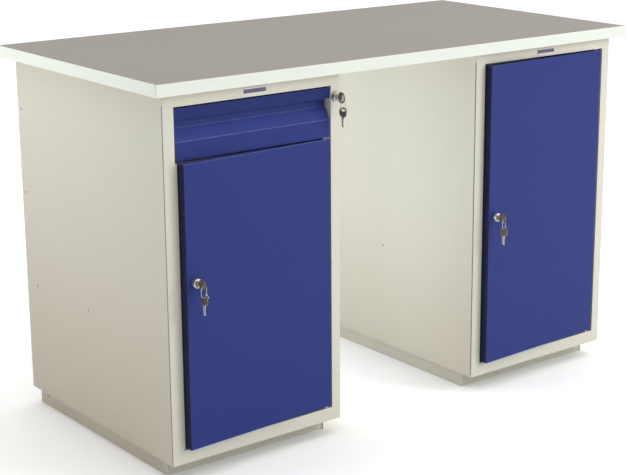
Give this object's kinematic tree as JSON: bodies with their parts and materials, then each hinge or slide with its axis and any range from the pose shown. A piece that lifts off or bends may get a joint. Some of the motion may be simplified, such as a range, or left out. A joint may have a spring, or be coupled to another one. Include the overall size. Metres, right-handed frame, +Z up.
{
  "type": "teacher desk",
  "caption": "Teacher desk with a laminated worktop on sheet-steel cabinets, with a lockable drawer and lockable doors standing slightly ajar, keys in the locks.",
  "frame": {"origin": "on the floor, under the middle of the whole desk's box, keys included", "axes": "+X to the right seen from the front, +Y to the back, +Z up"},
  "size_m": [1.2018, 0.6276, 0.76],
  "materials": {
    "white_paint": "powder coat, fine texture, semi-gloss",
    "blue_paint": "powder coat, fine texture, semi-gloss",
    "board": "raw chipboard",
    "laminate": "matt laminate",
    "trim": "satin",
    "zinc": "zinc plated",
    "bushing": "moulded",
    "lock_chrome": "polished",
    "key_metal": "worn nickel",
    "ring_wire": "bright wire",
    "plate": "satin, blank"
  },
  "bodies": {
    "desk": {"worktop_board": "board", "worktop_laminate": "laminate", "trim_front": "trim", "trim_back": "trim", "trim_left": "trim", "trim_right": "trim", "trim_screws": "zinc", "worktop_screws": "zinc", "left_outer_side": "white_paint", "left_inner_side": "white_paint", "left_back_panel": "white_paint", "left_floor_panel": "white_paint", "left_lock_stile": "white_paint", "left_hinge_stile": "white_paint", "left_top_rail": "white_paint", "left_bottom_rail": "white_paint", "left_drawer_rail": "white_paint", "left_plinth": "white_paint", "left_shelf": "white_paint", "right_outer_side": "white_paint", "right_inner_side": "white_paint", "right_back_panel": "white_paint", "right_floor_panel": "white_paint", "right_lock_stile": "white_paint", "right_hinge_stile": "white_paint", "right_top_rail": "white_paint", "right_bottom_rail": "white_paint", "right_plinth": "white_paint", "right_shelf": "white_paint", "rear_rails": "white_paint", "shelf_brackets": "white_paint", "panel_rivets": "white_paint", "name_plates": "plate", "door_pivot_pins": "zinc", "drawer_runners": "zinc", "drawer_lock_body": "lock_chrome"},
    "left_door": {"left_door": "blue_paint", "left_door_stiffener": "blue_paint", "left_door_bushings": "bushing", "left_lock_body": "lock_chrome"},
    "right_door": {"right_door": "blue_paint", "right_door_stiffener": "blue_paint", "right_door_bushings": "bushing", "right_lock_body": "lock_chrome"},
    "drawer": {"drawer_front": "blue_paint", "drawer_box": "white_paint", "drawer_slides": "zinc"},
    "runner_middles": {"slide_carriages": "zinc"},
    "left_plug": {"left_lock_plug": "lock_chrome", "left_key": "key_metal"},
    "right_plug": {"right_lock_plug": "lock_chrome", "right_key": "key_metal"},
    "drawer_plug": {"drawer_lock_plug": "lock_chrome", "drawer_key": "key_metal"},
    "left_ring": {"left_key_ring": "ring_wire"},
    "right_ring": {"right_key_ring": "ring_wire"},
    "drawer_ring": {"drawer_key_ring": "ring_wire"},
    "left_spare": {"left_spare_key": "key_metal"},
    "right_spare": {"right_spare_key": "key_metal"},
    "drawer_spare": {"drawer_spare_key": "key_metal"}
  },
  "joints": [
    {"name": "left_door_hinge", "type": "hinge", "parent": "desk", "child": "left_door", "pos_m": [-0.211, -0.252, 0.066], "axis": [0, 0, 1], "range_deg": [-3, 105]},
    {"name": "left_lock_turn", "type": "hinge", "parent": "left_door", "child": "left_plug", "pos_m": [-0.52545, -0.27649, 0.3885], "axis": [0.0523, -0.9986, 0], "range_deg": [0, 90]},
    {"name": "left_ring_swing", "type": "hinge", "parent": "left_plug", "child": "left_ring", "pos_m": [-0.52412, -0.30181, 0.3885], "axis": [0.9986, 0.0523, 0], "range_deg": [-35, 10]},
    {"name": "left_spare_swing", "type": "hinge", "parent": "left_ring", "child": "left_spare", "pos_m": [-0.52412, -0.30181, 0.3655], "axis": [0.9986, 0.0523, 0], "range_deg": [-30, 10]},
    {"name": "right_door_hinge", "type": "hinge", "parent": "desk", "child": "right_door", "pos_m": [0.5395, -0.252, 0.066], "axis": [0, 0, 1], "range_deg": [-2.9, 105]},
    {"name": "right_lock_turn", "type": "hinge", "parent": "right_door", "child": "right_plug", "pos_m": [0.22501, -0.27594, 0.3885], "axis": [0.0506, -0.9987, 0], "range_deg": [0, 90]},
    {"name": "right_ring_swing", "type": "hinge", "parent": "right_plug", "child": "right_ring", "pos_m": [0.22629, -0.30126, 0.3885], "axis": [0.9987, 0.0506, 0], "range_deg": [-35, 10]},
    {"name": "right_spare_swing", "type": "hinge", "parent": "right_ring", "child": "right_spare", "pos_m": [0.22629, -0.30126, 0.3655], "axis": [0.9987, 0.0506, 0], "range_deg": [-30, 10]},
    {"name": "drawer_slide", "type": "slide", "parent": "desk", "child": "drawer", "axis": [0, -1, 0], "range_m": [0, 0.4]},
    {"name": "runner_slide", "type": "slide", "parent": "desk", "child": "runner_middles", "axis": [0, -1, 0], "range_m": [0, 0.2]},
    {"name": "drawer_lock_turn", "type": "hinge", "parent": "desk", "child": "drawer_plug", "pos_m": [-0.18985, -0.26, 0.6905], "axis": [0, -1, 0], "range_deg": [0, 90]},
    {"name": "drawer_ring_swing", "type": "hinge", "parent": "drawer_plug", "child": "drawer_ring", "pos_m": [-0.18985, -0.28535, 0.6905], "axis": [1, 0, 0], "range_deg": [-35, 10]},
    {"name": "drawer_spare_swing", "type": "hinge", "parent": "drawer_ring", "child": "drawer_spare", "pos_m": [-0.18985, -0.28535, 0.6675], "axis": [1, 0, 0], "range_deg": [-30, 10]}
  ],
  "couplings": [
    {"joint": "runner_slide", "follows": "drawer_slide", "ratio": 0.5}
  ]
}
